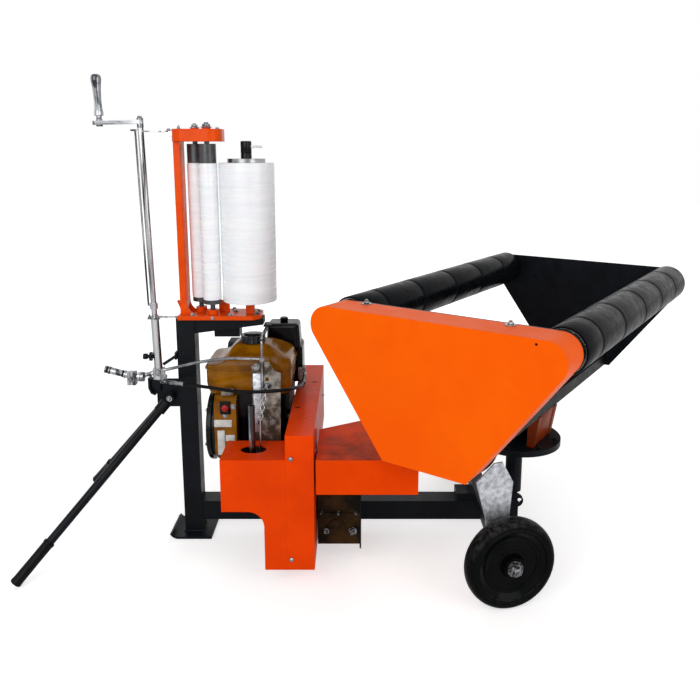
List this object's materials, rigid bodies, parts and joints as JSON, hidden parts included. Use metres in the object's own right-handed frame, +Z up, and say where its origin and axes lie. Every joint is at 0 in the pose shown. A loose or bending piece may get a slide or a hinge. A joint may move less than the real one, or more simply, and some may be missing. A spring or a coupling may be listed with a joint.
{
  "type": "bale wrapper",
  "caption": "Hand-moved round bale wrapper: turning roller table on a two-wheeled frame with engine, sheet covers, film dispenser, crank and tow handle.",
  "frame": {"origin": "on the ground, on the underside of the foot plate, below the axis of the post", "axes": "+X along the rail from the tow handle to the table, +Z up, -Y towards the side with the belt cover's leg"},
  "size_m": [2.2628, 1.4786, 1.5297],
  "materials": {
    "frame_paint": "satin black paint with a blue cast",
    "orange_paint": "gloss orange paint",
    "engine_paint": "gloss ochre paint",
    "gearbox_paint": "ochre paint on cast iron",
    "galvanised": "galvanised",
    "bright_steel": "zinc-plated steel, dull",
    "chromed": "chromed",
    "roller_rubber": "smooth black rubber",
    "tyre_rubber": "solid black rubber",
    "wheel_paint": "gloss black paint",
    "black_plastic": "moulded black",
    "grip_rubber": "moulded black rubber",
    "aluminium_cast": "cast",
    "stretch_film": "white stretch film"
  },
  "bodies": {
    "frame": {"air_cleaner": "black_plastic", "axle": "frame_paint", "belt_cover": "orange_paint", "cable_lever": "bright_steel", "chain_case": "orange_paint", "column": "frame_paint", "control_box": "orange_paint", "control_cable": "black_plastic", "control_pole": "bright_steel", "crankcase": "black_plastic", "cylinder_head": "aluminium_cast", "dispenser_base": "orange_paint", "dispenser_frame": "orange_paint", "dispenser_head": "orange_paint", "engine_bed": "frame_paint", "fan_housing": "engine_paint", "foot_plate": "frame_paint", "fuel_tank": "engine_paint", "gearbox": "gearbox_paint", "gearbox_bracket": "frame_paint", "guide_tube": "bright_steel", "handle_bracket": "frame_paint", "lever_plate": "galvanised", "link_rod": "bright_steel", "main_rail": "frame_paint", "muffler": "black_plastic", "pole_clamp": "frame_paint", "post": "frame_paint", "pull_rod": "bright_steel", "recoil_starter": "black_plastic", "tank_cap": "black_plastic", "top_arm": "frame_paint", "wheel_bracket_left": "galvanised", "wheel_bracket_right": "galvanised"},
    "wheel_left": {"wheel_tyre_left": "tyre_rubber", "wheel_disc_left": "wheel_paint"},
    "wheel_right": {"wheel_tyre_right": "tyre_rubber", "wheel_disc_right": "wheel_paint"},
    "table": {"turntable": "frame_paint", "table_beams": "orange_paint", "side_plate_near": "frame_paint", "side_plate_far": "frame_paint", "chain_cover": "orange_paint"},
    "roller_front": {"table_roller_front": "roller_rubber"},
    "roller_rear": {"table_roller_rear": "roller_rubber"},
    "crank": {"crank": "bright_steel", "crank_grip": "chromed"},
    "handle": {"handle_hub": "frame_paint", "handle_shaft_left": "frame_paint", "handle_shaft_right": "frame_paint", "handle_grip_left": "grip_rubber", "handle_grip_right": "grip_rubber"},
    "film": {"film_roll": "stretch_film", "reel_spindle": "bright_steel"},
    "stretch_front": {"stretch_roller_front": "roller_rubber"},
    "stretch_back": {"stretch_roller_back": "roller_rubber"}
  },
  "joints": [
    {"name": "wheel_left_spin", "type": "hinge", "parent": "frame", "child": "wheel_left", "pos_m": [1, -0.431, 0.1375], "axis": [0.2588, -0.9659, 0], "continuous": true},
    {"name": "wheel_right_spin", "type": "hinge", "parent": "frame", "child": "wheel_right", "pos_m": [1, 0.431, 0.1375], "axis": [0.2588, 0.9659, 0], "continuous": true},
    {"name": "table_turn", "type": "hinge", "parent": "frame", "child": "table", "pos_m": [1.102, 0, 0.342], "axis": [0, 0, 1], "continuous": true},
    {"name": "roller_front_spin", "type": "hinge", "parent": "table", "child": "roller_front", "pos_m": [0.83987, 0.18354, 0.815], "axis": [0.5736, 0.8192, 0], "continuous": true},
    {"name": "roller_rear_spin", "type": "hinge", "parent": "table", "child": "roller_rear", "pos_m": [1.36413, -0.18354, 0.815], "axis": [0.5736, 0.8192, 0], "continuous": true},
    {"name": "crank_turn", "type": "hinge", "parent": "frame", "child": "crank", "pos_m": [-0.10545, -0.05, 1.38681], "axis": [-0.0218, 0, 0.9998], "continuous": true},
    {"name": "handle_lift", "type": "hinge", "parent": "frame", "child": "handle", "pos_m": [-0.054, 0, 0.5], "axis": [0, 1, 0], "range_deg": [0, 75]},
    {"name": "film_roll_spin", "type": "hinge", "parent": "frame", "child": "film", "pos_m": [0.211, 0, 1], "axis": [0, 0, 1], "continuous": true},
    {"name": "stretch_front_spin", "type": "hinge", "parent": "frame", "child": "stretch_front", "pos_m": [0.092, -0.023, 1], "axis": [0, 0, 1], "continuous": true},
    {"name": "stretch_back_spin", "type": "hinge", "parent": "frame", "child": "stretch_back", "pos_m": [0.045, 0.025, 1], "axis": [0, 0, 1], "continuous": true}
  ],
  "couplings": [
    {"joint": "roller_rear_spin", "follows": "roller_front_spin", "ratio": 1},
    {"joint": "stretch_back_spin", "follows": "stretch_front_spin", "ratio": -0.65}
  ]
}
